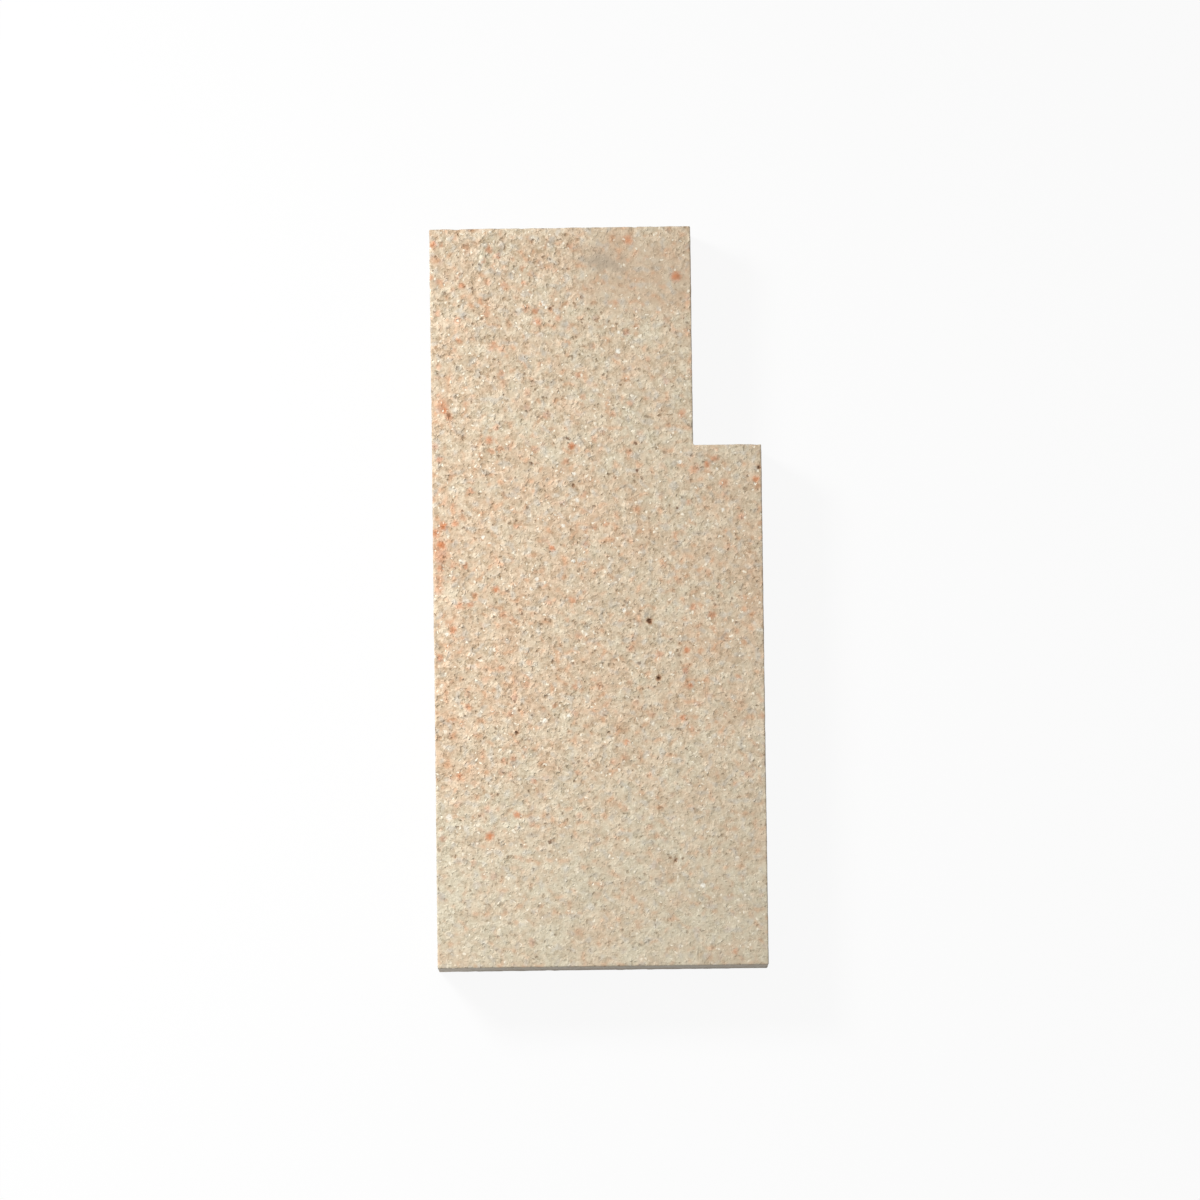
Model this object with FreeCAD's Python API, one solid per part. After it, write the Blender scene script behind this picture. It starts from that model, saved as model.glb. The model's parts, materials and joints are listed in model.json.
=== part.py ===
"""Notched refractory firebrick: one pressed and fired fireclay slab.

The slab lies flat on its bed face. A rectangular notch runs through its full
thickness at one corner, so that the brick clears a fitting in the firebox that
it lines. Every outside edge is a small rounded arris, and the inside corner of
the notch has a small radius of its own.

Frame: X runs across the width, Y along the length and Z up through the
thickness. The origin is on the bed face, at the centre of the full rectangle.
"""

import FreeCAD
import Part
import os

# Driving dimensions, in millimetres
LENGTH = 229.0
WIDTH = 102.0
THICKNESS = 25.0
NOTCH_LENGTH = 68.0
NOTCH_WIDTH = 21.0
NOTCH_ROOT_RADIUS = 1.0
ARRIS_RADIUS = 1.0

# Walls of the plan, worked out from the driving dimensions
LEFT_X = -WIDTH / 2
RIGHT_X = WIDTH / 2
NEAR_Y = -LENGTH / 2
FAR_Y = LENGTH / 2
STEP_X = RIGHT_X - NOTCH_WIDTH
LEDGE_Y = FAR_Y - NOTCH_LENGTH

# Two points closer than this are the same point
SAME_POINT = 1e-4

PARTS_FOLDER = "parts"
NODE_NAME = "firebrick"


def plan_point(x, y):
    """A point of the plan, on the bed face."""
    return FreeCAD.Vector(x, y, 0.0)


def outside_corners():
    """The plan's outside corners, anticlockwise from the near left."""
    return [
        plan_point(LEFT_X, NEAR_Y),
        plan_point(RIGHT_X, NEAR_Y),
        plan_point(RIGHT_X, LEDGE_Y),
        plan_point(STEP_X, FAR_Y),
        plan_point(LEFT_X, FAR_Y),
    ]


def notch_root_arc():
    """The rounded inside corner of the notch, from its ledge to its step."""
    centre = plan_point(STEP_X + NOTCH_ROOT_RADIUS, LEDGE_Y + NOTCH_ROOT_RADIUS)
    on_ledge = plan_point(centre.x, LEDGE_Y)
    on_step = plan_point(STEP_X, centre.y)
    inwards = (plan_point(STEP_X, LEDGE_Y) - centre).normalize()
    middle = centre + inwards * NOTCH_ROOT_RADIUS
    return Part.Arc(on_ledge, middle, on_step).toShape()


def plan_outline():
    """The closed outline of the brick seen from above."""
    near_left, near_right, ledge_end, step_end, far_left = outside_corners()
    root = notch_root_arc()
    root_on_ledge = root.Vertexes[0].Point
    root_on_step = root.Vertexes[-1].Point
    edges = [
        Part.LineSegment(near_left, near_right).toShape(),
        Part.LineSegment(near_right, ledge_end).toShape(),
        Part.LineSegment(ledge_end, root_on_ledge).toShape(),
        root,
        Part.LineSegment(root_on_step, step_end).toShape(),
        Part.LineSegment(step_end, far_left).toShape(),
        Part.LineSegment(far_left, near_left).toShape(),
    ]
    return Part.Wire(edges)


def arris_edges(slab):
    """The outline's edges on both faces, and the uprights at the outside corners."""
    corners = outside_corners()
    chosen = []
    for edge in slab.Edges:
        lies_flat = edge.BoundBox.ZLength < SAME_POINT
        foot = plan_point(edge.Vertexes[0].X, edge.Vertexes[0].Y)
        at_corner = any(foot.distanceToPoint(corner) < SAME_POINT for corner in corners)
        if lies_flat or at_corner:
            chosen.append(edge)
    return chosen


def make_firebrick():
    """The whole brick as one solid."""
    slab = Part.Face(plan_outline()).extrude(FreeCAD.Vector(0.0, 0.0, THICKNESS))
    return slab.makeFillet(ARRIS_RADIUS, arris_edges(slab))


def main():
    """Builds the brick, prints its facts and writes it."""
    brick = make_firebrick()
    box = brick.BoundBox
    print(f"valid {brick.isValid()}, solids {len(brick.Solids)}, volume {brick.Volume:.1f} mm3")
    print(f"size {box.XLength:.3f} x {box.YLength:.3f} x {box.ZLength:.3f} mm")
    os.makedirs(PARTS_FOLDER, exist_ok=True)
    brick.exportStep(os.path.join(PARTS_FOLDER, NODE_NAME + ".step"))


main()
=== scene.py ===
"""The looks of a notched refractory firebrick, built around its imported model.

The brick is a slab of fireclay that was pressed, fired and left bare. It lies on its bed face on a
pale studio floor, and the camera looks down on its hot face. Lengths are in metres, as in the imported
model, unless a name or a comment says millimetres, as for grains, pits and skin relief.
"""

import json
import logging
import math
from dataclasses import dataclass
from enum import Enum
from functools import cached_property

import bmesh
import bpy
import numpy as np
from mathutils import Color, Matrix, Vector, noise


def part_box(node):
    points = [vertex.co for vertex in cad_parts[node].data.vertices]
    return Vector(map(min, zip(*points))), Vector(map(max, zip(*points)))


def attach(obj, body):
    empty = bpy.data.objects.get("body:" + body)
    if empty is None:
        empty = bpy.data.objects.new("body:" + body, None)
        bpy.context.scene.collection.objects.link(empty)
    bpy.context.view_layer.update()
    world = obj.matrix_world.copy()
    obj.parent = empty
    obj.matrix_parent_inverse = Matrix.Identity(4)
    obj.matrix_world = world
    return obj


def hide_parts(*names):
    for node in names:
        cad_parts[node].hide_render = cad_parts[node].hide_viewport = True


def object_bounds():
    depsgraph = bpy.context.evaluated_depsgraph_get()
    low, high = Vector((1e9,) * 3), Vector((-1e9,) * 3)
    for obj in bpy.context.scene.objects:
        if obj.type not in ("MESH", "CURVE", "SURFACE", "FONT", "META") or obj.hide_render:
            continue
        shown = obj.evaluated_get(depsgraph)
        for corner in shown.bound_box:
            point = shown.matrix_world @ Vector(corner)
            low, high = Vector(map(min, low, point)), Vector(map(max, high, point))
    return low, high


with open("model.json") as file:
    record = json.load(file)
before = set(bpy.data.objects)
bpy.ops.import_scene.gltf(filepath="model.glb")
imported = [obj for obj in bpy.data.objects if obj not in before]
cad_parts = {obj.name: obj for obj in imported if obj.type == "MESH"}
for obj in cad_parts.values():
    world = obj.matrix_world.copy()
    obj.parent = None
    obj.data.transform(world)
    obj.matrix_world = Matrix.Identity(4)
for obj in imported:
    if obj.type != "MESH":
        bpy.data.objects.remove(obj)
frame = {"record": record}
cad_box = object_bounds()

LOG = logging.getLogger("firebrick")
NODE = "firebrick"
BODY = "root"
MM = 0.001

Colour = tuple[float, float, float, float]
Span = tuple[float, float]

WHITE: Colour = (1.0, 1.0, 1.0, 1.0)
# The strongest level on a colour card
CARD_FULL = 255
# The middle of a noise or a lot, which run from 0 to 1
MIDDLE = 0.5
# How far a pit of full strength goes below the hot face, in millimetres
PIT_DEPTH = 0.7


def card(red: int, green: int, blue: int) -> Colour:
    """Reads a colour off a colour card.

    Args:
        red: Red as a screen shows it, from 0 to 255.
        green: Green as a screen shows it, from 0 to 255.
        blue: Blue as a screen shows it, from 0 to 255.

    Returns:
        The same colour in linear light, fully opaque.
    """
    shown = Color((red / CARD_FULL, green / CARD_FULL, blue / CARD_FULL))
    return (*shown.from_srgb_to_scene_linear(), 1.0)


def ease(value: float, low: float, high: float) -> float:
    """Rises smoothly from 0 at low to 1 at high.

    Args:
        value: Where to read the rise.
        low: Where the rise starts.
        high: Where the rise ends.

    Returns:
        A share from 0 to 1.
    """
    share = min(1.0, max(0.0, (value - low) / (high - low)))
    return share * share * (3 - 2 * share)


class MarkKind(Enum):
    """What a single mark on the hot face is."""

    PIT = "pit"
    IRON = "iron"
    RUST = "rust"
    QUARTZ = "quartz"
    SLATE = "slate"


class Paint(Enum):
    """What is painted on the points of the brick's mesh for its finish to read."""

    COARSE = "coarse"
    TINT = "tint"
    FILM = "film"
    # How grey the walls are; the near end's extra grey is painted shade
    WALL = "wall"
    # Painted shade in the pits, by their depth
    HOLLOW_SHADE = "hollow"


@dataclass(frozen=True)
class View:
    """The camera that matches the photograph: where it stands, its lens and its square frame.

    Its lens and sensor are in millimetres, and the frame's side is in pixels.
    """

    aim: tuple[float, float] = (0.5 * MM, -1.33 * MM)
    distance: float = 3.0
    tilt: float = math.radians(4.61)
    roll: float = math.radians(0.75)
    lens: float = 291.85
    sensor: float = 36.0
    side: int = 1200

    def stand(self, level: float) -> Matrix:
        """Stands the camera high over the brick, tipped a little towards its near end.

        Args:
            level: The height of the face that it looks at.

        Returns:
            The camera's place and turn.
        """
        turn = Matrix.Rotation(self.tilt, 4, "X") @ Matrix.Rotation(-self.roll, 4, "Z")
        aim = Matrix.Translation((self.aim[0], self.aim[1], level))
        return aim @ turn @ Matrix.Translation((0.0, 0.0, self.distance))

    def spot(self, right: float, down: float, level: float) -> Vector:
        """Finds the point of a level face that shows at a pixel.

        Args:
            right: How far the pixel is from the frame's left edge.
            down: How far the pixel is from the frame's top edge.
            level: The height of the face.

        Returns:
            The point, in metres.
        """
        stand = self.stand(level)
        eye = stand.to_translation()
        middle = self.side / 2
        depth = self.side * self.lens / self.sensor
        ray = stand.to_3x3() @ Vector((right - middle, middle - down, -depth))
        return eye + ray * ((level - eye.z) / ray.z)


PHOTO_VIEW = View()


@dataclass(frozen=True)
class Mark:
    """One grain or pit that stands out on the hot face, listed from the photograph.

    It is placed by a pixel, counted from the left and from the top. Its radius is in millimetres.
    """

    kind: MarkKind
    right: float
    down: float
    radius: float
    strength: float

    @cached_property
    def middle(self) -> Vector:
        """Where its middle lies on the hot face, in millimetres."""
        return PHOTO_VIEW.spot(self.right, self.down, cad_box[1].z) / MM

    @property
    def depth(self) -> float:
        """How far it goes below the face, in millimetres."""
        return PIT_DEPTH * self.strength if self.kind is MarkKind.PIT else 0.0

    def gap(self, place: Vector) -> float:
        """How far a place lies from its middle, measured along the face in millimetres."""
        return math.hypot(place.x - self.middle.x, place.y - self.middle.y)


HOT_FACE_MARKS = (
    Mark(MarkKind.PIT, 649.6, 620.8, 0.72, 1.00),
    Mark(MarkKind.PIT, 659.0, 678.0, 0.62, 0.95),
    Mark(MarkKind.PIT, 517.0, 733.0, 0.50, 0.70),
    Mark(MarkKind.PIT, 573.5, 485.5, 0.42, 0.65),
    Mark(MarkKind.PIT, 670.4, 858.0, 0.40, 0.35),
    Mark(MarkKind.PIT, 676.0, 860.4, 0.42, 0.55),
    Mark(MarkKind.PIT, 683.0, 859.0, 0.36, 0.35),
    Mark(MarkKind.PIT, 759.0, 467.4, 0.50, 0.65),
    Mark(MarkKind.PIT, 550.5, 308.5, 0.50, 0.60),
    Mark(MarkKind.IRON, 635.6, 443.4, 0.55, 0.80),
    Mark(MarkKind.IRON, 637.0, 470.6, 0.55, 0.90),
    Mark(MarkKind.IRON, 568.0, 438.3, 0.55, 0.80),
    Mark(MarkKind.IRON, 531.3, 463.7, 0.60, 0.85),
    Mark(MarkKind.IRON, 747.0, 475.4, 0.45, 0.70),
    Mark(MarkKind.IRON, 677.0, 508.0, 0.50, 0.80),
    Mark(MarkKind.IRON, 649.0, 518.0, 0.45, 0.70),
    Mark(MarkKind.IRON, 522.0, 614.0, 0.50, 0.80),
    Mark(MarkKind.IRON, 553.0, 660.6, 0.55, 0.80),
    Mark(MarkKind.IRON, 732.5, 598.0, 0.50, 0.70),
    Mark(MarkKind.IRON, 715.0, 604.0, 0.50, 0.55),
    Mark(MarkKind.IRON, 735.8, 622.5, 0.50, 0.65),
    Mark(MarkKind.IRON, 679.0, 655.0, 0.60, 0.55),
    Mark(MarkKind.IRON, 639.0, 663.0, 0.55, 0.60),
    Mark(MarkKind.IRON, 519.4, 710.0, 0.55, 0.80),
    Mark(MarkKind.IRON, 550.0, 842.0, 0.65, 0.80),
    Mark(MarkKind.IRON, 448.8, 415.0, 0.70, 0.70),
    # A dark speck beside the chip, a painted shadow
    Mark(MarkKind.IRON, 553.0, 306.0, 0.45, 0.80),
    Mark(MarkKind.RUST, 676.0, 276.0, 1.40, 0.95),
    Mark(MarkKind.RUST, 628.0, 240.0, 1.25, 0.70),
    Mark(MarkKind.RUST, 489.0, 250.0, 1.00, 0.60),
    Mark(MarkKind.RUST, 441.5, 405.5, 1.90, 0.50),
    Mark(MarkKind.RUST, 444.5, 410.5, 0.90, 0.75),
    Mark(MarkKind.RUST, 449.0, 417.0, 1.00, 0.70),
    Mark(MarkKind.RUST, 489.0, 440.0, 1.05, 0.70),
    Mark(MarkKind.RUST, 538.0, 322.0, 1.05, 0.65),
    Mark(MarkKind.RUST, 571.7, 445.8, 0.95, 0.90),
    Mark(MarkKind.RUST, 437.0, 548.0, 2.80, 0.35),
    Mark(MarkKind.RUST, 443.0, 526.0, 1.05, 0.95),
    Mark(MarkKind.RUST, 455.0, 524.0, 0.95, 0.65),
    Mark(MarkKind.RUST, 436.0, 533.0, 1.25, 0.80),
    Mark(MarkKind.RUST, 441.0, 545.0, 1.05, 0.95),
    Mark(MarkKind.RUST, 441.0, 557.5, 1.80, 0.50),
    Mark(MarkKind.RUST, 440.0, 568.5, 1.00, 0.60),
    Mark(MarkKind.RUST, 438.5, 579.5, 1.60, 0.35),
    Mark(MarkKind.RUST, 438.5, 590.0, 1.40, 0.45),
    Mark(MarkKind.RUST, 496.0, 589.5, 0.85, 0.85),
    Mark(MarkKind.RUST, 459.0, 606.0, 0.95, 0.55),
    Mark(MarkKind.RUST, 470.0, 605.0, 0.80, 0.60),
    Mark(MarkKind.RUST, 503.0, 614.5, 1.00, 0.50),
    Mark(MarkKind.RUST, 552.0, 548.0, 0.80, 0.90),
    Mark(MarkKind.RUST, 453.0, 630.0, 1.00, 0.70),
    Mark(MarkKind.RUST, 440.0, 658.0, 0.85, 0.75),
    Mark(MarkKind.RUST, 459.0, 776.0, 0.85, 0.80),
    Mark(MarkKind.RUST, 517.0, 815.0, 0.95, 0.80),
    Mark(MarkKind.RUST, 490.0, 836.0, 1.10, 0.95),
    Mark(MarkKind.RUST, 693.0, 606.7, 0.90, 0.55),
    Mark(MarkKind.RUST, 711.7, 615.0, 1.00, 0.60),
    Mark(MarkKind.RUST, 687.0, 650.0, 0.80, 0.80),
    Mark(MarkKind.RUST, 685.8, 670.8, 0.80, 0.60),
    Mark(MarkKind.RUST, 690.0, 685.8, 0.85, 0.70),
    Mark(MarkKind.RUST, 683.0, 718.0, 0.85, 0.75),
    Mark(MarkKind.RUST, 627.0, 742.0, 0.80, 0.60),
    Mark(MarkKind.RUST, 707.0, 464.0, 0.85, 0.75),
    Mark(MarkKind.RUST, 715.0, 458.0, 1.00, 0.55),
    Mark(MarkKind.RUST, 696.0, 468.0, 1.10, 0.45),
    Mark(MarkKind.RUST, 724.0, 483.0, 1.10, 0.45),
    Mark(MarkKind.RUST, 741.0, 516.0, 1.00, 0.45),
    Mark(MarkKind.RUST, 735.0, 951.0, 0.80, 0.50),
    Mark(MarkKind.RUST, 682.0, 413.0, 1.05, 0.55),
    Mark(MarkKind.RUST, 756.0, 479.0, 0.85, 0.75),
    Mark(MarkKind.SLATE, 463.0, 315.0, 1.00, 0.70),
    Mark(MarkKind.SLATE, 565.0, 325.0, 1.25, 0.45),
    Mark(MarkKind.SLATE, 636.0, 456.0, 1.15, 0.50),
    Mark(MarkKind.SLATE, 466.5, 640.0, 0.85, 0.60),
    Mark(MarkKind.SLATE, 442.0, 897.0, 1.15, 0.60),
    Mark(MarkKind.SLATE, 658.0, 882.0, 1.10, 0.50),
    # The chip's pale lip, partly quartz and partly a painted highlight
    Mark(MarkKind.QUARTZ, 542.0, 301.5, 0.40, 0.80),
    Mark(MarkKind.QUARTZ, 543.5, 304.5, 0.50, 0.90),
    Mark(MarkKind.QUARTZ, 546.0, 307.5, 0.50, 0.95),
    Mark(MarkKind.QUARTZ, 618.0, 351.0, 0.75, 1.00),
    Mark(MarkKind.QUARTZ, 618.4, 332.4, 0.55, 0.80),
    Mark(MarkKind.QUARTZ, 443.0, 390.4, 0.60, 0.80),
    Mark(MarkKind.QUARTZ, 438.0, 532.5, 0.45, 0.70),
    Mark(MarkKind.QUARTZ, 483.0, 537.0, 0.60, 0.90),
    Mark(MarkKind.QUARTZ, 563.0, 525.4, 0.60, 0.80),
    Mark(MarkKind.QUARTZ, 573.5, 560.8, 0.60, 0.95),
    Mark(MarkKind.QUARTZ, 680.0, 462.0, 0.60, 0.90),
    Mark(MarkKind.QUARTZ, 681.0, 452.0, 0.45, 0.80),
    Mark(MarkKind.QUARTZ, 717.0, 468.6, 0.45, 0.80),
    Mark(MarkKind.QUARTZ, 723.0, 509.5, 0.50, 0.85),
    Mark(MarkKind.QUARTZ, 574.0, 473.6, 0.60, 0.85),
    Mark(MarkKind.QUARTZ, 577.0, 500.0, 0.70, 0.80),
    Mark(MarkKind.QUARTZ, 537.0, 579.0, 0.60, 0.80),
    Mark(MarkKind.QUARTZ, 531.0, 589.0, 0.60, 0.80),
    Mark(MarkKind.QUARTZ, 624.0, 610.0, 0.60, 0.85),
    Mark(MarkKind.QUARTZ, 447.0, 634.0, 0.55, 0.85),
    Mark(MarkKind.QUARTZ, 586.0, 634.0, 0.60, 0.85),
    Mark(MarkKind.QUARTZ, 568.6, 715.4, 0.60, 0.95),
    Mark(MarkKind.QUARTZ, 545.0, 720.4, 0.75, 0.75),
    Mark(MarkKind.QUARTZ, 449.0, 817.0, 0.95, 0.70),
    Mark(MarkKind.QUARTZ, 670.0, 652.5, 0.60, 0.90),
    Mark(MarkKind.QUARTZ, 703.0, 885.6, 0.75, 0.95),
)
PITS = tuple(mark for mark in HOT_FACE_MARKS if mark.kind is MarkKind.PIT)


class Signal:
    """One output of a node, which can stand in sums as a number does."""

    def __init__(self, sheet: "NodeSheet", socket: bpy.types.NodeSocket) -> None:
        """Keeps the socket and the sheet that it is drawn on."""
        self.sheet = sheet
        self.socket = socket

    def twin(self, name: str) -> "Signal":
        """Gives another output of the same node."""
        return Signal(self.sheet, self.socket.node.outputs[name])

    def __add__(self, other: "Signal | float") -> "Signal":
        """Adds two values."""
        return self.sheet.sum("ADD", self, other)

    def __radd__(self, other: float) -> "Signal":
        """Adds a value to a number."""
        return self.sheet.sum("ADD", other, self)

    def __sub__(self, other: "Signal | float") -> "Signal":
        """Takes one value from another."""
        return self.sheet.sum("SUBTRACT", self, other)

    def __rsub__(self, other: float) -> "Signal":
        """Takes a value from a number."""
        return self.sheet.sum("SUBTRACT", other, self)

    def __mul__(self, other: "Signal | float") -> "Signal":
        """Multiplies two values."""
        return self.sheet.sum("MULTIPLY", self, other)

    def __rmul__(self, other: float) -> "Signal":
        """Multiplies a number by a value."""
        return self.sheet.sum("MULTIPLY", other, self)


class NodeSheet:
    """The node tree of one finish, written as expressions."""

    def __init__(self, tree: bpy.types.NodeTree) -> None:
        """Starts on an empty tree."""
        self.tree = tree
        tree.nodes.clear()

    def add(
        self,
        kind: str,
        settings: dict[str, object] | None = None,
        sockets: dict[str | int, object] | None = None,
        output: str | int = 0,
    ) -> Signal:
        """Adds a node.

        Args:
            kind: The node's type.
            settings: The node's own properties, which are set first.
            sockets: Values or signals for its inputs, by name, identifier or number.
            output: The output to hand back, by name, identifier or number.

        Returns:
            The chosen output, as a signal.
        """
        node = self.tree.nodes.new(kind)
        for name, value in (settings or {}).items():
            setattr(node, name, value)
        for key, value in (sockets or {}).items():
            socket = self.find(node.inputs, key)
            if isinstance(value, Signal):
                self.tree.links.new(value.socket, socket)
            else:
                socket.default_value = value
        if not node.outputs:
            return Signal(self, node.inputs[0])
        return Signal(self, self.find(node.outputs, output))

    @staticmethod
    def find(sockets: bpy.types.bpy_prop_collection, key: str | int) -> bpy.types.NodeSocket:
        """Finds a socket of a node.

        Args:
            sockets: The node's inputs or its outputs.
            key: The socket's number, identifier or name.

        Returns:
            The socket.
        """
        if isinstance(key, int):
            return sockets[key]
        return next(socket for socket in sockets if key in (socket.identifier, socket.name))

    def sum(self, operation: str, *values: Signal | float) -> Signal:
        """Works out a sum on values."""
        return self.add("ShaderNodeMath", {"operation": operation}, dict(enumerate(values)))

    def vector(self, operation: str, *values: object) -> Signal:
        """Works out a sum on vectors."""
        return self.add("ShaderNodeVectorMath", {"operation": operation}, dict(enumerate(values)))

    def scaled(self, vector: Signal, factor: Signal | float) -> Signal:
        """Scales a vector or a colour by a value."""
        sockets = {"Vector": vector, "Scale": factor}
        return self.add("ShaderNodeVectorMath", {"operation": "SCALE"}, sockets)

    def rise(self, value: Signal, span: Span, most: float = 1.0) -> Signal:
        """Rises smoothly from 0 as a value goes over a span, upwards or downwards.

        Args:
            value: The value to read.
            span: Where the result is 0 and where it is full.
            most: The full result.

        Returns:
            A share from 0 to the full result.
        """
        sockets = {"Value": value, 1: span[0], 2: span[1], 4: most}
        return self.add("ShaderNodeMapRange", {"interpolation_type": "SMOOTHSTEP"}, sockets)

    def blend(self, share: Signal | float, first: object, second: object) -> Signal:
        """Mixes two colours.

        Args:
            share: How much of the second colour shows.
            first: The colour at a share of 0.
            second: The colour at a share of 1.

        Returns:
            The mixed colour.
        """
        sockets = {"Factor_Float": share, "A_Color": first, "B_Color": second}
        return self.add("ShaderNodeMix", {"data_type": "RGBA"}, sockets, "Result_Color")

    def cloud(self, place: Signal, size: float, detail: float = 1.0) -> Signal:
        """A soft noise.

        Args:
            place: Where it is read, in millimetres.
            size: The size of its lumps, in millimetres.
            detail: How many finer layers it has.

        Returns:
            A value about 0.5, with the twin output Color.
        """
        sockets = {"Vector": place, "Scale": 1 / size, "Detail": detail}
        return self.add("ShaderNodeTexNoise", {"noise_dimensions": "3D"}, sockets, "Fac")

    def swing(self, place: Signal, size: float, detail: float = 0.0) -> Signal:
        """A soft noise about 0, with lumps of a size in millimetres."""
        return self.cloud(place, size, detail) - MIDDLE

    def sway(self, place: Signal, size: float) -> Signal:
        """A soft noise of vectors about 0, with lumps of a size in millimetres."""
        return self.vector("SUBTRACT", self.cloud(place, size).twin("Color"), (MIDDLE, MIDDLE, MIDDLE))

    def moved(self, place: Signal, sway: Signal, reach: float) -> Signal:
        """Moves a place by a noise of vectors, times a reach in millimetres."""
        return self.vector("ADD", place, self.scaled(sway, reach))

    def grains(self, place: Signal, size: float) -> Signal:
        """Packed grains.

        Args:
            place: Where they are read, in millimetres.
            size: The pitch of the grains, in millimetres.

        Returns:
            The distance from the grain's middle in pitches, with the twin output Color.
        """
        sockets = {"Vector": place, "Scale": 1 / size}
        return self.add("ShaderNodeTexVoronoi", {"feature": "F1"}, sockets, "Distance")

    def lots(self, grains: Signal) -> Signal:
        """Draws three numbers from 0 to 1 for each grain, the outputs Red, Green and Blue.

        Args:
            grains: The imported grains, whose own colour only tells one grain from the next.

        Returns:
            The number Red, with the twin outputs Green and Blue.
        """
        drawn = self.add("ShaderNodeTexWhiteNoise", {}, {"Vector": grains.twin("Color")}, "Color")
        return self.add("ShaderNodeSeparateColor", {"mode": "RGB"}, {"Color": drawn}, "Red")

    def painted(self, paint: Paint) -> Signal:
        """Reads a value that was painted on the mesh's points."""
        return self.add("ShaderNodeAttribute", {"attribute_name": paint.value}, {}, "Fac")


@dataclass(frozen=True)
class Grain:
    """The clay's grain, as signals that its colour, gloss and relief all read.

    A place is in millimetres, and a lot is drawn for each grain. Sand and grit hold the distance from
    the grain's middle. Pepper holds the share of dark pores, and the bright share that of bright
    grains, which are partly painted highlights.
    """

    place: Signal
    bent_place: Signal
    stain_place: Signal
    speck_place: Signal
    coarse: Signal
    wall: Signal
    sand: Signal
    sand_lot: Signal
    grit: Signal
    grit_lot: Signal
    dust: Signal
    drag: Signal
    salt_and_highlight: Signal
    pepper: Signal


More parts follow.
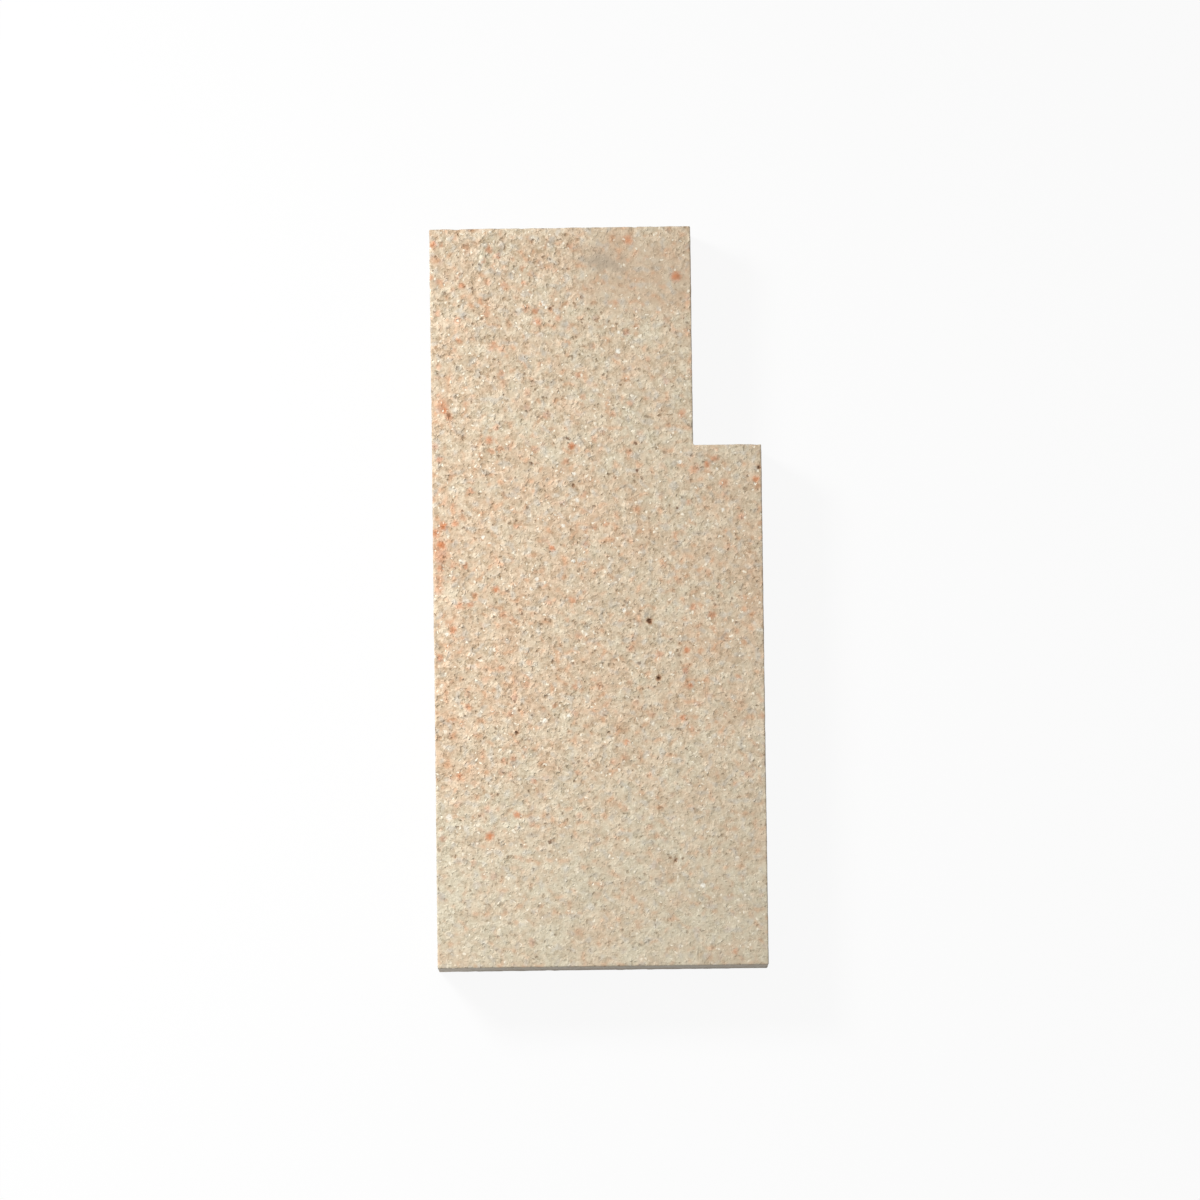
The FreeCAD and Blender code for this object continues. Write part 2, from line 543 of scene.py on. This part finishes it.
@dataclass(frozen=True)
class FireclayFinish:
    """Bare fired fireclay: a cream matrix packed with sand, with rust, slate and quartz grains.

    Sizes and depths are in millimetres. A span is where an effect starts and where it is full, and a
    most is its largest share.
    """

    name: str = "fired_fireclay"

    # Colours of the clay, of its grains and of what lies on it
    pale: Colour = card(219, 208, 183)
    blush: Colour = card(218, 176, 141)
    ash: Colour = card(206, 199, 185)
    rust: Colour = card(211, 134, 89)
    slate: Colour = card(186, 183, 175)
    quartz: Colour = card(255, 250, 236)
    # Bright quartz grains, which also stand in for painted highlights on lit grains
    bright_grain_and_highlight: Colour = card(255, 244, 222)
    # Dark pores and iron specks, also used as painted shade in the pits
    pore_and_shade: Colour = card(118, 84, 60)
    halo: Colour = card(184, 142, 108)
    # Painted shade at the middle of each pit
    pit_shade: Colour = card(86, 54, 34)
    soot: Colour = card(174, 160, 142)
    # A grey for the pressed walls, partly pressed skin and, on the near end's wall, painted shade
    pressed: Colour = card(193, 191, 190)

    # The darkest and the lightest grain, as factors on the clay's colour
    shade: Colour = (0.65, 0.59, 0.51, 1.0)
    light: Colour = (1.31, 1.35, 1.41, 1.0)
    middle_tone: float = 0.55

    # Grains of three sizes, which a wobble bends out of round
    wobble_size: float = 1.2
    wobble_reach: float = 1.5
    sand_size: float = 0.88
    sand_tone: float = 0.42
    sand_depth: float = 0.345
    grit_size: float = 1.75
    grit_tone: float = 0.38
    grit_depth: float = 0.38
    dust_size: float = 0.8
    dust_detail: float = 1.0
    dust_tone: float = 0.38
    dust_depth: float = 0.10
    dome_span: Span = (0.62, 0.1)
    core_span: Span = (0.62, 0.25)

    # Dark pores among the sand, and bright grains that are partly painted highlights
    pepper_span: Span = (-0.455, -0.485)
    pepper_most: float = 0.48
    salt_span: Span = (0.925, 0.968)
    salt_most: float = 0.95
    salt_calm: float = 0.05

    # Iron stains of three sizes, and patches of ash
    stain_middle: float = 0.285
    bloom_size: float = 16.0
    bloom_swing: float = 0.30
    stain_size: float = 5.5
    stain_swing: float = 0.50
    blotch_size: float = 2.3
    blotch_swing: float = 0.42
    blotch_span: Span = (0.08, 0.34)
    blotch_most: float = 0.36
    ash_size: float = 2.5
    ash_span: Span = (0.04, 0.30)
    ash_most: float = 0.60

    # Stones of rust and slate
    stone_size: float = 2.9
    stone_span: Span = (0.62, 0.05)
    rust_span: Span = (0.80, 1.0)
    slate_span: Span = (0.92, 1.0)
    stone_most: float = 0.52

    # Rims of the single marks, in radii, and how far their outlines fray
    stain_rim: Span = (1.9, 0.2)
    halo_rim: Span = (2.3, 0.7)
    speck_rim: Span = (1.4, 0.5)
    stain_fray: float = 1.4
    speck_fray: float = 0.9

    # Film on the hot face, pressed walls with drag lines, and painted shade at the near end and in
    # hollows
    film_most: float = 0.68
    wall_most: float = 0.50
    drag_size: float = 0.9
    drag_detail: float = 2.0
    drag_stretch: tuple[float, float, float] = (1.0, 1.0, 0.06)
    drag_tone: float = 0.28
    drag_depth: float = 0.10
    # The most painted shade in the hollows
    hollow_shade_most: float = 0.5

    # Gloss
    roughness: float = 0.9
    quartz_roughness: float = 0.45
    specular: float = 0.25

    def make(self) -> bpy.types.Material:
        """Mixes the finish.

        Returns:
            The material, ready to be put on a piece.
        """
        material = bpy.data.materials.new(self.name)
        material.use_nodes = True
        sheet = NodeSheet(material.node_tree)
        grain = self.sort_grain(sheet)
        colour = self.tint_clay(sheet, grain)
        colour = self.shade_grain(sheet, grain, colour)
        sockets = {
            "Base Color": self.soil(sheet, grain, colour),
            "Roughness": self.roughness - grain.salt_and_highlight * (self.roughness - self.quartz_roughness),
            "Specular IOR Level": self.specular,
            "Normal": self.raise_grain(sheet, grain),
        }
        clay = sheet.add("ShaderNodeBsdfPrincipled", {}, sockets)
        sheet.add("ShaderNodeOutputMaterial", {}, {"Surface": clay})
        return material

    def sort_grain(self, sheet: NodeSheet) -> Grain:
        """Sorts the clay's grain by size.

        Args:
            sheet: The sheet to draw on.

        Returns:
            The grain, read all over the skin.
        """
        coarse = sheet.painted(Paint.COARSE)
        wall = sheet.painted(Paint.WALL)
        place = sheet.scaled(sheet.add("ShaderNodeTexCoord", output="Object"), 1 / MM)
        bent_place = sheet.moved(place, sheet.sway(place, self.wobble_size), self.wobble_reach)
        fray = sheet.sway(place, self.dust_size)
        sand = sheet.grains(bent_place, self.sand_size)
        grit = sheet.grains(bent_place, self.grit_size)
        sand_lots = sheet.lots(sand)
        sand_lot = sand_lots - MIDDLE
        salt_lot = sand_lots.twin("Green") + (coarse - 1.0) * self.salt_calm
        core = sheet.rise(sand, self.core_span)
        drawn_out = sheet.vector("MULTIPLY", place, self.drag_stretch)
        return Grain(
            place=place,
            bent_place=bent_place,
            stain_place=sheet.moved(place, fray, self.stain_fray),
            speck_place=sheet.moved(place, fray, self.speck_fray),
            coarse=coarse,
            wall=wall,
            sand=sand,
            sand_lot=sand_lot,
            grit=grit,
            grit_lot=sheet.lots(grit) - MIDDLE,
            dust=sheet.swing(place, self.dust_size, self.dust_detail),
            drag=sheet.swing(drawn_out, self.drag_size, self.drag_detail) * wall,
            # Bright grains, partly painted highlights
            salt_and_highlight=sheet.rise(salt_lot, self.salt_span) * core * self.salt_most,
            pepper=sheet.rise(sand_lot, self.pepper_span) * core * coarse * self.pepper_most,
        )

    def tint_clay(self, sheet: NodeSheet, grain: Grain) -> Signal:
        """Tints the clay, before its grain is shaded.

        Args:
            sheet: The sheet to draw on.
            grain: The clay's grain.

        Returns:
            The clay's colour.
        """
        colour = sheet.blend(self.stain(sheet, grain.place), self.pale, self.blush)
        patches = sheet.swing(grain.place, self.ash_size)
        colour = sheet.blend(sheet.rise(patches, self.ash_span, self.ash_most), colour, self.ash)
        colour = self.set_stones(sheet, grain, colour)
        stains = {MarkKind.RUST: self.rust, MarkKind.SLATE: self.slate}
        colour = self.set_marks(sheet, grain.stain_place, stains, self.stain_rim, colour)
        # The walls turn greyer, most at the near end, where the grey is painted shade
        return sheet.blend(grain.wall * self.wall_most, colour, self.pressed)

    def shade_grain(self, sheet: NodeSheet, grain: Grain, colour: Signal) -> Signal:
        """Gives each grain a tone, and sets the dark pores and the bright grains, partly painted
        highlights.

        Args:
            sheet: The sheet to draw on.
            grain: The clay's grain.
            colour: The clay so far.

        Returns:
            The clay with its grain.
        """
        tone = grain.sand_lot * self.sand_tone + grain.grit_lot * self.grit_tone
        tone = (tone + grain.dust * self.dust_tone) * grain.coarse + grain.drag * self.drag_tone
        factor = sheet.blend(self.middle_tone + tone, self.shade, self.light)
        colour = sheet.vector("MULTIPLY", colour, factor)
        colour = sheet.blend(grain.pepper, colour, self.pore_and_shade)
        return sheet.blend(grain.salt_and_highlight, colour, self.bright_grain_and_highlight)

    def soil(self, sheet: NodeSheet, grain: Grain, colour: Signal) -> Signal:
        """Lays the film on the clay, paints shade into its hollows and pits, and sets its specks.

        Args:
            sheet: The sheet to draw on.
            grain: The clay's grain.
            colour: The clay so far.

        Returns:
            The finished colour.
        """
        colour = sheet.blend(sheet.painted(Paint.FILM) * self.film_most, colour, self.soot)
        # Painted shade in the pits, darker where they are deeper
        colour = sheet.blend(sheet.painted(Paint.HOLLOW_SHADE) * self.hollow_shade_most, colour, self.pore_and_shade)
        halos = {MarkKind.PIT: self.halo}
        colour = self.set_marks(sheet, grain.stain_place, halos, self.halo_rim, colour)
        specks = {MarkKind.QUARTZ: self.quartz, MarkKind.IRON: self.pore_and_shade, MarkKind.PIT: self.pit_shade}
        return self.set_marks(sheet, grain.speck_place, specks, self.speck_rim, colour)

    def raise_grain(self, sheet: NodeSheet, grain: Grain) -> Signal:
        """Raises and sinks the grains.

        Args:
            sheet: The sheet to draw on.
            grain: The clay's grain.

        Returns:
            The skin's direction.
        """
        relief = grain.dust * self.dust_depth
        relief = relief + sheet.rise(grain.sand, self.dome_span) * grain.sand_lot * self.sand_depth
        relief = relief + sheet.rise(grain.grit, self.dome_span) * grain.grit_lot * self.grit_depth
        height = (relief * grain.coarse + grain.drag * self.drag_depth) * MM
        return sheet.add("ShaderNodeBump", {}, {"Height": height, "Strength": 1.0, "Distance": 1.0})

    def stain(self, sheet: NodeSheet, place: Signal) -> Signal:
        """Works out how far iron in the clay has tinted it.

        Args:
            sheet: The sheet to draw on.
            place: Where the tint is read, in millimetres.

        Returns:
            A share, which may go a little beyond 0 and 1.
        """
        blotch = sheet.swing(place, self.blotch_size)
        share = sheet.painted(Paint.TINT) + self.stain_middle
        share = share + sheet.swing(place, self.bloom_size) * self.bloom_swing
        share = share + sheet.swing(place, self.stain_size) * self.stain_swing
        share = share + blotch * self.blotch_swing
        return share + sheet.rise(blotch, self.blotch_span, self.blotch_most)

    def set_stones(self, sheet: NodeSheet, grain: Grain, colour: Signal) -> Signal:
        """Sets the stones of rust and slate in the clay.

        Args:
            sheet: The sheet to draw on.
            grain: The clay's grain.
            colour: The clay so far.

        Returns:
            The clay with the stones in it.
        """
        stones = sheet.grains(grain.bent_place, self.stone_size)
        near = sheet.rise(stones, self.stone_span, self.stone_most) * grain.coarse * grain.coarse
        lots = sheet.lots(stones)
        rust = sheet.rise(lots.twin("Green"), self.rust_span)
        slate = sheet.rise(lots.twin("Blue"), self.slate_span)
        colour = sheet.blend(rust * near, colour, self.rust)
        return sheet.blend(slate * near, colour, self.slate)

    def set_marks(
        self, sheet: NodeSheet, place: Signal, tints: dict[MarkKind, Colour], rim: Span, colour: Signal
    ) -> Signal:
        """Sets single grains and pits that stand out on the hot face.

        Args:
            sheet: The sheet to draw on.
            place: Where they are read, in millimetres.
            tints: The kinds of mark to set, each with its colour.
            rim: Where a mark ends and where it is full, in radii from its middle.
            colour: The clay so far.

        Returns:
            The clay with the marks in it.
        """
        for mark in HOT_FACE_MARKS:
            if mark.kind in tints:
                ends = {0: place, 1: mark.middle - Vector((0.0, 0.0, mark.depth / 2))}
                gap = sheet.add("ShaderNodeVectorMath", {"operation": "DISTANCE"}, ends, "Value")
                span = (mark.radius * rim[0], mark.radius * rim[1])
                colour = sheet.blend(sheet.rise(gap, span, mark.strength), colour, tints[mark.kind])
        return colour


@dataclass(frozen=True)
class FloorFinish:
    """A pale studio floor that the camera sees as white, with the brick's shadow left on it."""

    name: str = "studio_floor"
    paint: Colour = (0.8, 0.8, 0.8, 1.0)
    glow_share: float = 0.92

    def make(self) -> bpy.types.Material:
        """Mixes the finish.

        Returns:
            The material, ready to be put on the floor.
        """
        material = bpy.data.materials.new(self.name)
        material.use_nodes = True
        sheet = NodeSheet(material.node_tree)
        seen = seen_directly(sheet)
        paint = sheet.add("ShaderNodeBsdfDiffuse", {}, {"Color": self.paint})
        glow = sheet.add("ShaderNodeEmission", {}, {"Color": WHITE, "Strength": 1.0})
        floor = sheet.add("ShaderNodeMixShader", {}, {0: seen * self.glow_share, 1: paint, 2: glow})
        sheet.add("ShaderNodeOutputMaterial", {}, {"Surface": floor})
        return material


def seen_directly(sheet: NodeSheet) -> Signal:
    """Tells the rays that show a backdrop from those that only carry its light.

    Args:
        sheet: The sheet to draw on.

    Returns:
        1 for camera, glossy and transmission rays, 0 for the rest.
    """
    camera = sheet.add("ShaderNodeLightPath", output="Is Camera Ray")
    glossy = camera.twin("Is Glossy Ray")
    through = camera.twin("Is Transmission Ray")
    return sheet.sum("MAXIMUM", sheet.sum("MAXIMUM", camera, glossy), through)


@dataclass(frozen=True)
class Skin:
    """The brick's rough skin. Sizes are in millimetres, and depths go inwards from the true face."""

    # Grains and waves of the whole skin
    grain_pitch: float = 3.2
    grain_depth: float = 0.12
    crown_span: Span = (0.0, 0.5)
    crown_share: float = 0.5
    wave_pitch: float = 55.0
    wave_depth: float = 0.12

    # Nicks along the arrises
    nick_pitch: float = 5.0
    nick_reach: float = 2.0
    nick_depth: float = 0.9
    nick_span: Span = (0.25, 1.0)
    fine_nick_pitch: float = 2.0
    fine_nick_share: float = 0.5

    # Pits, with their bowl in radii, and how far below the hot face its patches and pits reach
    pit_margin: float = 0.7
    pit_bowl: Span = (0.3, 1.4)
    # The depth at which a pit's painted shade is full
    pit_full_shade_depth: float = 0.5
    face_depth: float = 1.0

    # The near end, as shares of the way from the brick's middle
    near_span: Span = (0.35, 0.85)

    # How strongly the grain stands out
    coarse_left: float = 1.12
    right_calm: float = 0.26
    near_calm: float = 0.27
    wall_calm: float = 0.25
    patch_calm: float = 0.44
    far_coarse: float = 0.12

    # How the tint, the film and the pressed skin differ from place to place
    patch_iron: float = 0.11
    near_pale: float = 0.15
    patch_film: float = 0.20
    # How much darker the clay gets towards the near end
    near_darkening: float = 0.11
    # Walls other than the near end take less grey; the near end's extra grey is painted shade
    other_side_less_grey: float = 0.40


@dataclass(frozen=True)
class Patch:
    """A slanted oval on the hot face, in millimetres from the brick's middle.

    It starts to fade at its core and ends at its edge, both as shares of its half sizes. Its iron is
    how much more the clay is tinted there.
    """

    across: float
    along: float
    half_length: float
    half_width: float
    slant: float = 0.0
    core: float = 0.1
    edge: float = 1.3
    fray: float = 0.0
    fray_pitch: float = 1.0
    iron: float = 0.0

    def share(self, place: Vector) -> float:
        """Tells how much of the patch shows at a place.

        Args:
            place: A point of the skin, in millimetres.

        Returns:
            1 inside, 0 outside, and between them near the outline.
        """
        offset = Vector((place.x - self.across, place.y - self.along))
        offset.rotate(Matrix.Rotation(-self.slant, 2))
        reach = math.hypot(offset.x / self.half_length, offset.y / self.half_width)
        fray = self.fray * noise.noise(place / self.fray_pitch)
        return 1.0 - ease(reach + fray, self.core, self.edge)


CALM_PATCH = Patch(13.0, 99.0, 22.0, 13.0, slant=math.radians(-10), core=0.4, fray=0.3, fray_pitch=7.0)
SMUDGE_PATCH = Patch(3.0, 103.8, 9.5, 4.4, slant=math.radians(-16), fray=0.5, fray_pitch=2.5)
FAR_PATCH = Patch(-38.0, 114.0, 70.0, 45.0, iron=0.08)
IRON_PATCHES = (
    FAR_PATCH,
    Patch(-38.0, 8.0, 75.0, 75.0, iron=0.14),
    Patch(44.0, 4.0, 24.0, 32.0, iron=0.12),
    Patch(6.0, 46.0, 34.0, 22.0, iron=-0.11),
)


@dataclass
class Firebrick:
    """The whole brick: a pressed slab with a notch through one corner."""

    low: Vector
    high: Vector
    step_x: float
    ledge_y: float
    name: str = "fireclay_slab"
    pitch: float = 0.82 * MM
    course: float = 0.90 * MM
    arris_radius: float = 0.45 * MM
    arris_segments: int = 2
    arris_angle: float = math.radians(45)
    pit_cuts: int = 2
    weld: float = 0.001 * MM
    skin: Skin = Skin()

    def build(self) -> bpy.types.Object:
        """Builds the brick's mesh and puts it in the scene.

        Returns:
            The brick's object, not yet dressed.
        """
        slab = self.press_slab()
        self.break_arrises(slab)
        self.refine_pits(slab)
        coats = self.roughen(slab)
        mesh = bpy.data.meshes.new(self.name)
        slab.to_mesh(mesh)
        slab.free()
        mesh.shade_smooth()
        for paint, values in coats.items():
            mesh.attributes.new(paint.value, "FLOAT", "POINT").data.foreach_set("value", values)
        brick = bpy.data.objects.new(self.name, mesh)
        bpy.context.scene.collection.objects.link(brick)
        return brick

    def plan_panels(self) -> list[tuple[Span, Span]]:
        """Splits the notched plan into rectangles.

        Returns:
            The span across and the span along of each rectangle.
        """
        main_across = (self.low.x, self.step_x)
        tongue_across = (self.step_x, self.high.x)
        main_along = (self.low.y, self.ledge_y)
        head_along = (self.ledge_y, self.high.y)
        return [(main_across, main_along), (tongue_across, main_along), (main_across, head_along)]

    def press_slab(self) -> bmesh.types.BMesh:
        """Presses the plain slab out of even cells.

        Returns:
            The slab, with sharp arrises and smooth faces.
        """
        slab = bmesh.new()
        for across, along in self.plan_panels():
            width = across[1] - across[0]
            length = along[1] - along[0]
            middle = Vector((sum(across) / 2, sum(along) / 2, self.low.z))
            stretch = Matrix.Diagonal((width / 2, length / 2, 1.0, 1.0))
            bmesh.ops.create_grid(
                slab,
                x_segments=round(width / self.pitch),
                y_segments=round(length / self.pitch),
                size=1.0,
                matrix=Matrix.Translation(middle) @ stretch,
            )
        bmesh.ops.remove_doubles(slab, verts=slab.verts[:], dist=self.weld)
        raised = bmesh.ops.extrude_face_region(slab, geom=slab.faces[:])["geom"]
        thickness = self.high.z - self.low.z
        top = [part for part in raised if isinstance(part, bmesh.types.BMVert)]
        bmesh.ops.translate(slab, verts=top, vec=(0.0, 0.0, thickness))
        bmesh.ops.recalc_face_normals(slab, faces=slab.faces[:])
        upright = [edge for edge in slab.edges if edge.calc_length() > thickness / 2]
        cuts = round(thickness / self.course) - 1
        bmesh.ops.subdivide_edges(slab, edges=upright, cuts=cuts, use_grid_fill=True)
        return slab

    def break_arrises(self, slab: bmesh.types.BMesh) -> None:
        """Takes the sharpness off every edge, the notch's root included.

        Args:
            slab: The plain slab, which is changed.
        """
        sharp = [edge for edge in slab.edges if edge.calc_face_angle(0.0) > self.arris_angle]
        bmesh.ops.bevel(
            slab,
            geom=sharp,
            offset=self.arris_radius,
            offset_type="OFFSET",
            affect="EDGES",
            segments=self.arris_segments,
            profile=0.5,
            material=-1,
            clamp_overlap=True,
        )

    def arris_lines(self) -> list[tuple[Vector, Vector]]:
        """Lists the outside edges of the sharp slab.

        Returns:
            The two ends of each edge.
        """
        plan = [
            (self.low.x, self.low.y),
            (self.high.x, self.low.y),
            (self.high.x, self.ledge_y),
            (self.step_x, self.ledge_y),
            (self.step_x, self.high.y),
            (self.low.x, self.high.y),
        ]
        lines = []
        for (x, y), (next_x, next_y) in zip(plan, plan[1:] + plan[:1]):
            for z in (self.low.z, self.high.z):
                lines.append((Vector((x, y, z)), Vector((next_x, next_y, z))))
            if (x, y) != (self.step_x, self.ledge_y):
                lines.append((Vector((x, y, self.low.z)), Vector((x, y, self.high.z))))
        return lines

    def arris_gaps(self, places: np.ndarray) -> np.ndarray:
        """Measures how far points lie from the nearest outside edge.

        Args:
            places: The points, one a row.

        Returns:
            The distance of each point, in metres.
        """
        nearest = np.full(len(places), np.inf)
        for start, end in self.arris_lines():
            first = np.array(start)
            along = np.array(end - start)
            share = np.clip((places - first) @ along / (along @ along), 0.0, 1.0)
            gap = np.linalg.norm(places - first - share[:, None] * along, axis=1)
            nearest = np.minimum(nearest, gap)
        return nearest

    def refine_pits(self, slab: bmesh.types.BMesh) -> None:
        """Divides the cells round each pit, so that the pit has a shape of its own.

        Args:
            slab: The slab with broken arrises, which is changed.
        """
        cells = [face for face in slab.faces if self.by_pit(face.calc_center_median() / MM)]
        edges = dict.fromkeys(edge for cell in cells for edge in cell.edges)
        bmesh.ops.subdivide_edges(slab, edges=list(edges), cuts=self.pit_cuts, use_grid_fill=True)

    def by_pit(self, place: Vector) -> bool:
        """Tells whether a place is in a pit or beside one.

        Args:
            place: A point of the slab, in millimetres.

        Returns:
            Whether the cell there is divided for the pit.
        """
        if place.z <= self.high.z / MM - PIT_DEPTH:
            return False
        return min(pit.gap(place) - pit.radius for pit in PITS) < self.skin.pit_margin

    def roughen(self, slab: bmesh.types.BMesh) -> dict[Paint, list[float]]:
        """Sinks the skin between its grains, into its pits and at its nicked arrises.

        Args:
            slab: The slab with broken arrises, which is changed.

        Returns:
            What to paint on each point.
        """
        skin = self.skin
        slab.normal_update()
        places = [point.co / MM for point in slab.verts]
        normals = [point.normal.copy() for point in slab.verts]
        gaps = self.arris_gaps(np.array([point.co for point in slab.verts])) / MM
        coats: dict[Paint, list[float]] = {paint: [] for paint in Paint}
        for point, place, normal, gap in zip(slab.verts, places, normals, gaps):
            wall = 1.0 - abs(normal.z)
            # The near end's wall keeps the most grey, as painted shade
            less_grey = skin.other_side_less_grey * (1.0 - max(0.0, -normal.y))
            calm = self.on_face(CALM_PATCH, place)
            near = ease(place.y * MM / self.low.y, *skin.near_span)
            coarse = self.coarseness(place, calm, near) * (1.0 - skin.wall_calm * wall)
            pit = self.pit_depth(place)
            nick = self.nick_depth(place, gap)
            point.co -= normal * (self.skin_depth(place) * coarse + pit + nick) * MM
            smudge = self.on_face(SMUDGE_PATCH, place)
            coats[Paint.COARSE].append(coarse)
            coats[Paint.TINT].append(self.iron(place, calm, near))
            # The film holds the calm patch's tan, the smudge, and darker clay towards the near end
            coats[Paint.FILM].append(max(skin.patch_film * calm, smudge, skin.near_darkening * near))
            coats[Paint.WALL].append(wall * (1.0 - less_grey))
            # Painted shade in the pits, full at a set depth
            coats[Paint.HOLLOW_SHADE].append(min(1.0, pit / skin.pit_full_shade_depth))
        return coats

    def reaches(self, place: Vector) -> bool:
        """Tells whether a place, in millimetres, is on the hot face or just below it."""
        return place.z > self.high.z / MM - self.skin.face_depth

    def on_face(self, patch: Patch, place: Vector) -> float:
        """Tells how much of a patch shows at a place, in millimetres. Off the hot face it is 0."""
        return patch.share(place) if self.reaches(place) else 0.0

    def coarseness(self, place: Vector, calm: float, near: float) -> float:
        """Tells how strongly the grain stands out, which fades to the right and at the near end.

        Args:
            place: A point of the skin, in millimetres.
            calm: How much of the calm patch shows there.
            near: How far the place is towards the near end.

        Returns:
            A share about 1.
        """
        skin = self.skin
        across = skin.coarse_left - skin.right_calm * ease(place.x * MM, self.low.x, self.high.x)
        along = 1.0 - skin.near_calm * near + skin.far_coarse * FAR_PATCH.share(place)
        return across * along * (1.0 - skin.patch_calm * calm)

    def iron(self, place: Vector, calm: float, near: float) -> float:
        """Tells how much more iron than elsewhere tints the clay.

        Args:
            place: A point of the skin, in millimetres.
            calm: How much of the calm patch shows there.
            near: How far the place is towards the near end.

        Returns:
            A share about 0.
        """
        patches = sum(patch.iron * patch.share(place) for patch in IRON_PATCHES)
        return patches + self.skin.patch_iron * calm - self.skin.near_pale * near

    def skin_depth(self, place: Vector) -> float:
        """The depth of the grainy skin.

        Args:
            place: A point of the skin, in millimetres.

        Returns:
            A depth in millimetres.
        """
        skin = self.skin
        gaps, middles = noise.voronoi(place / skin.grain_pitch)
        crown = ease(gaps[1] - gaps[0], *skin.crown_span)
        lot = noise.cell(middles[0])
        wave = (1.0 + noise.noise(place / skin.wave_pitch)) / 2
        grain = 1.0 - skin.crown_share * crown - (1.0 - skin.crown_share) * lot
        return skin.grain_depth * grain + skin.wave_depth * wave

    def pit_depth(self, place: Vector) -> float:
        """The depth of the single pits on the hot face.

        Args:
            place: A point of the skin, in millimetres.

        Returns:
            A depth in millimetres.
        """
        if not self.reaches(place):
            return 0.0
        bowl = self.skin.pit_bowl
        return max(pit.depth * (1.0 - ease(pit.gap(place) / pit.radius, *bowl)) for pit in PITS)

    def nick_depth(self, place: Vector, gap: float) -> float:
        """The depth of the nicks along the arrises.

        Args:
            place: A point of the skin, in millimetres.
            gap: How far it is from the nearest arris, in millimetres.

        Returns:
            A depth in millimetres.
        """
        skin = self.skin
        if gap > skin.nick_reach:
            return 0.0
        bite = noise.noise(place / skin.nick_pitch)
        bite = bite + skin.fine_nick_share * noise.noise(place / skin.fine_nick_pitch)
        return skin.nick_depth * ease(bite, *skin.nick_span) * (1.0 - gap / skin.nick_reach)

    def dress(self, brick: bpy.types.Object, finish: FireclayFinish) -> None:
        """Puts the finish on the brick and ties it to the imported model.

        Args:
            brick: The built brick.
            finish: What the brick is made of.
        """
        brick.data.materials.append(finish.make())
        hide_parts(NODE)
        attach(brick, BODY)


@dataclass(frozen=True)
class Lamp:
    """One soft studio lamp in a hood that narrows its beam."""

    name: str
    place: tuple[float, float, float]
    aim: tuple[float, float, float]
    size: float
    power: float
    spread: float

    def build(self) -> None:
        """Hangs the lamp in the scene."""
        light = bpy.data.lights.new(self.name, "AREA")
        light.shape = "DISK"
        light.size = self.size
        light.energy = self.power
        light.spread = self.spread
        lamp = bpy.data.objects.new(self.name, light)
        lamp.visible_camera = False
        lamp.location = self.place
        beam = Vector(self.aim) - Vector(self.place)
        lamp.rotation_euler = beam.to_track_quat("-Z", "Y").to_euler()
        bpy.context.scene.collection.objects.link(lamp)


@dataclass(frozen=True)
class Studio:
    """The floor, the lamp, the sky and the camera."""

    floor_reach: float = 8.0
    sky_strength: float = 0.345
    key_lamp: Lamp = Lamp(
        name="key_lamp",
        place=(-0.411, 0.288, 0.488),
        aim=(-0.2, -0.12, 0.025),
        size=0.20,
        power=1.80,
        spread=math.radians(100),
    )
    view: View = PHOTO_VIEW

    def build(self, floor_level: float, aim_level: float) -> None:
        """Sets up the studio round the brick.

        Args:
            floor_level: The height of the surface that the brick lies on.
            aim_level: The height of the face that the camera looks at.
        """
        self.lay_floor(floor_level)
        self.light_sky()
        self.key_lamp.build()
        self.place_camera(aim_level)
        bpy.context.scene.view_settings.view_transform = "Standard"

    def lay_floor(self, level: float) -> None:
        """Lays the floor, which is no part of the brick.

        Args:
            level: The floor's height.
        """
        sheet = bmesh.new()
        bmesh.ops.create_grid(sheet, x_segments=1, y_segments=1, size=self.floor_reach)
        bmesh.ops.translate(sheet, verts=sheet.verts[:], vec=(0.0, 0.0, level))
        mesh = bpy.data.meshes.new("floor")
        sheet.to_mesh(mesh)
        sheet.free()
        mesh.materials.append(FloorFinish().make())
        floor = bpy.data.objects.new("floor", mesh)
        bpy.context.scene.collection.objects.link(floor)

    def light_sky(self) -> None:
        """Gives the sky a soft even light and a white face to the camera."""
        sky = bpy.data.worlds.new("studio_sky")
        sky.use_nodes = True
        sheet = NodeSheet(sky.node_tree)
        seen = seen_directly(sheet)
        strength = self.sky_strength + seen * (1.0 - self.sky_strength)
        glow = sheet.add("ShaderNodeBackground", {}, {"Color": WHITE, "Strength": strength})
        sheet.add("ShaderNodeOutputWorld", {}, {"Surface": glow})
        bpy.context.scene.world = sky

    def place_camera(self, level: float) -> None:
        """Sets up the camera that matches the photograph.

        Args:
            level: The height of the face that it looks at.
        """
        data = bpy.data.cameras.new("camera")
        data.lens = self.view.lens
        data.sensor_width = self.view.sensor
        camera = bpy.data.objects.new("camera", data)
        camera.matrix_world = self.view.stand(level)
        bpy.context.scene.collection.objects.link(camera)
        bpy.context.scene.camera = camera


def mount_place(name: str) -> Vector:
    """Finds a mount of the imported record.

    Args:
        name: The mount's name.

    Returns:
        The mount's place.
    """
    mounts = frame["record"]["mounts"]
    return Vector(next(mount["pos_m"] for mount in mounts if mount["name"] == name))


def main() -> None:
    """Builds the brick and its studio, and reports each piece."""
    logging.basicConfig(level=logging.INFO, format="%(name)s: %(message)s")
    low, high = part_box(NODE)
    slab = Firebrick(low, high, mount_place("notch_step").x, mount_place("notch_ledge").y)
    brick = slab.build()
    slab.dress(brick, FireclayFinish())
    triangles = sum(len(face.vertices) - 2 for face in brick.data.polygons)
    LOG.info("%s: %d triangles", brick.name, triangles)
    Studio().build(low.z, high.z)
    LOG.info("studio set up")


if __name__ == "__main__":
    main()
